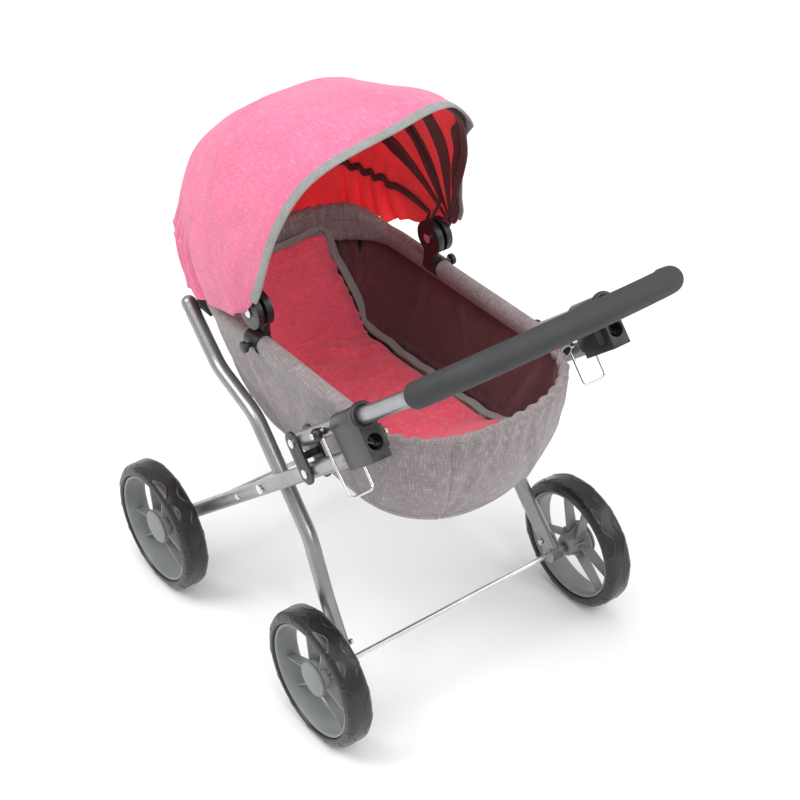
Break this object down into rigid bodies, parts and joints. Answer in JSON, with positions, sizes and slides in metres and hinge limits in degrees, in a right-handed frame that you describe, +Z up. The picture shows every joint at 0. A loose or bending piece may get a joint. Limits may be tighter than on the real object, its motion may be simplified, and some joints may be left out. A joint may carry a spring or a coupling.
{
  "type": "doll stroller",
  "caption": "Toy pram: fabric bassinet with a folding hood on a tubular scissor frame, push handle with foam grip and spoked wheels.",
  "frame": {"origin": "on the floor, below the middle of the whole object's box", "axes": "+X the stroller's left side, -Y the direction of travel with the hood end in front, +Z up"},
  "size_m": [0.363, 0.5838, 0.606],
  "materials": {
    "tyre_rubber": "moulded matt rubber or soft plastic with a wavy tread",
    "rim_plastic_grey": "satin moulded plastic",
    "plastic_black": "satin black moulding",
    "steel_painted": "satin silver-grey powder coat",
    "steel_bright": "bright zinc plate",
    "grip_foam": "matt foam",
    "fabric_grey": "grey melange woven cloth",
    "fabric_coral": "coral melange woven cloth over soft filling",
    "fabric_pink": "pink melange woven cloth outside and red lining inside",
    "board": "pressed fibre board",
    "bow_plastic": "flexible wire bow in a cloth casing"
  },
  "bodies": {
    "frame": {"rear_leg_left": "steel_painted", "rear_leg_right": "steel_painted", "rear_axle": "steel_bright", "rear_axle_bolts": "steel_bright", "head_rivets": "steel_bright", "head_bracket_left": "plastic_black", "head_bracket_right": "plastic_black", "rim_tube": "steel_painted", "rim_sleeve_left": "fabric_grey", "rim_sleeve_right": "fabric_grey", "rim_end_pins": "steel_bright", "bassinet_shell": "fabric_grey", "base_board": "board", "mattress": "fabric_coral", "backrest_pad": "fabric_coral", "hood_bracket_left": "plastic_black", "hood_bracket_right": "plastic_black", "hood_rivets": "steel_bright", "hood_stop_knobs": "plastic_black", "hood_bow_rear": "bow_plastic", "hood_panel_rear": "fabric_pink"},
    "front_frame": {"front_tube_left": "steel_painted", "front_tube_right": "steel_painted", "front_axle": "steel_bright", "pivot_rivets": "steel_bright", "pivot_washers": "plastic_black", "front_tube_rivets": "steel_bright"},
    "links": {"link_left": "plastic_black", "link_right": "plastic_black", "link_rivets": "steel_bright"},
    "handle": {"handle_tube": "steel_painted", "handle_grip": "grip_foam", "joint_bracket_left": "plastic_black", "joint_bracket_right": "plastic_black", "bail_knobs": "plastic_black"},
    "left_bail": {"bail_left": "steel_bright"},
    "right_bail": {"bail_right": "steel_bright"},
    "hood_middle": {"hood_bow_middle": "bow_plastic", "hood_panel_middle": "fabric_pink"},
    "hood_front": {"hood_bow_front": "bow_plastic", "hood_panel_front": "fabric_pink", "hood_disc_left": "plastic_black", "hood_disc_right": "plastic_black"},
    "front_left_wheel": {"front_left_tyre": "tyre_rubber", "front_left_rim": "rim_plastic_grey", "front_left_hub_cap": "rim_plastic_grey", "front_left_bush": "plastic_black"},
    "front_right_wheel": {"front_right_tyre": "tyre_rubber", "front_right_rim": "rim_plastic_grey", "front_right_hub_cap": "rim_plastic_grey", "front_right_bush": "plastic_black"},
    "rear_left_wheel": {"rear_left_tyre": "tyre_rubber", "rear_left_rim": "rim_plastic_grey", "rear_left_hub_cap": "rim_plastic_grey", "rear_left_bush": "plastic_black"},
    "rear_right_wheel": {"rear_right_tyre": "tyre_rubber", "rear_right_rim": "rim_plastic_grey", "rear_right_hub_cap": "rim_plastic_grey", "rear_right_bush": "plastic_black"}
  },
  "joints": [
    {"name": "frame_fold", "type": "hinge", "parent": "frame", "child": "front_frame", "pos_m": [0, -0.0292, 0.23], "axis": [1, 0, 0], "range_deg": [0, 45]},
    {"name": "link_swing", "type": "hinge", "parent": "front_frame", "child": "links", "pos_m": [0, 0.06237, 0.30575], "axis": [1, 0, 0], "range_deg": [0, 3]},
    {"name": "handle_fold", "type": "hinge", "parent": "links", "child": "handle", "pos_m": [0, 0.04261, 0.32963], "axis": [1, 0, 0], "range_deg": [0, 8]},
    {"name": "left_bail_swing", "type": "hinge", "parent": "handle", "child": "left_bail", "pos_m": [0.1393, 0.09808, 0.37553], "axis": [1, 0, 0], "range_deg": [-45, 20]},
    {"name": "right_bail_swing", "type": "hinge", "parent": "handle", "child": "right_bail", "pos_m": [-0.1393, 0.09808, 0.37553], "axis": [1, 0, 0], "range_deg": [-45, 20]},
    {"name": "hood_middle_fold", "type": "hinge", "parent": "frame", "child": "hood_middle", "pos_m": [0, -0.0734, 0.403], "axis": [1, 0, 0], "range_deg": [0, 40]},
    {"name": "hood_front_fold", "type": "hinge", "parent": "hood_middle", "child": "hood_front", "pos_m": [0, -0.0734, 0.403], "axis": [1, 0, 0], "range_deg": [0, 30]},
    {"name": "rear_left_wheel_spin", "type": "hinge", "parent": "frame", "child": "rear_left_wheel", "pos_m": [0.1666, 0.0863, 0.075], "axis": [1, 0, 0], "continuous": true},
    {"name": "rear_right_wheel_spin", "type": "hinge", "parent": "frame", "child": "rear_right_wheel", "pos_m": [-0.1666, 0.0863, 0.075], "axis": [1, 0, 0], "continuous": true},
    {"name": "front_left_wheel_spin", "type": "hinge", "parent": "front_frame", "child": "front_left_wheel", "pos_m": [0.1666, -0.21656, 0.075], "axis": [1, 0, 0], "continuous": true},
    {"name": "front_right_wheel_spin", "type": "hinge", "parent": "front_frame", "child": "front_right_wheel", "pos_m": [-0.1666, -0.21656, 0.075], "axis": [1, 0, 0], "continuous": true}
  ],
  "couplings": [
    {"joint": "link_swing", "follows": "handle_fold", "ratio": 0.3},
    {"joint": "hood_front_fold", "follows": "hood_middle_fold", "ratio": 0.75}
  ]
}
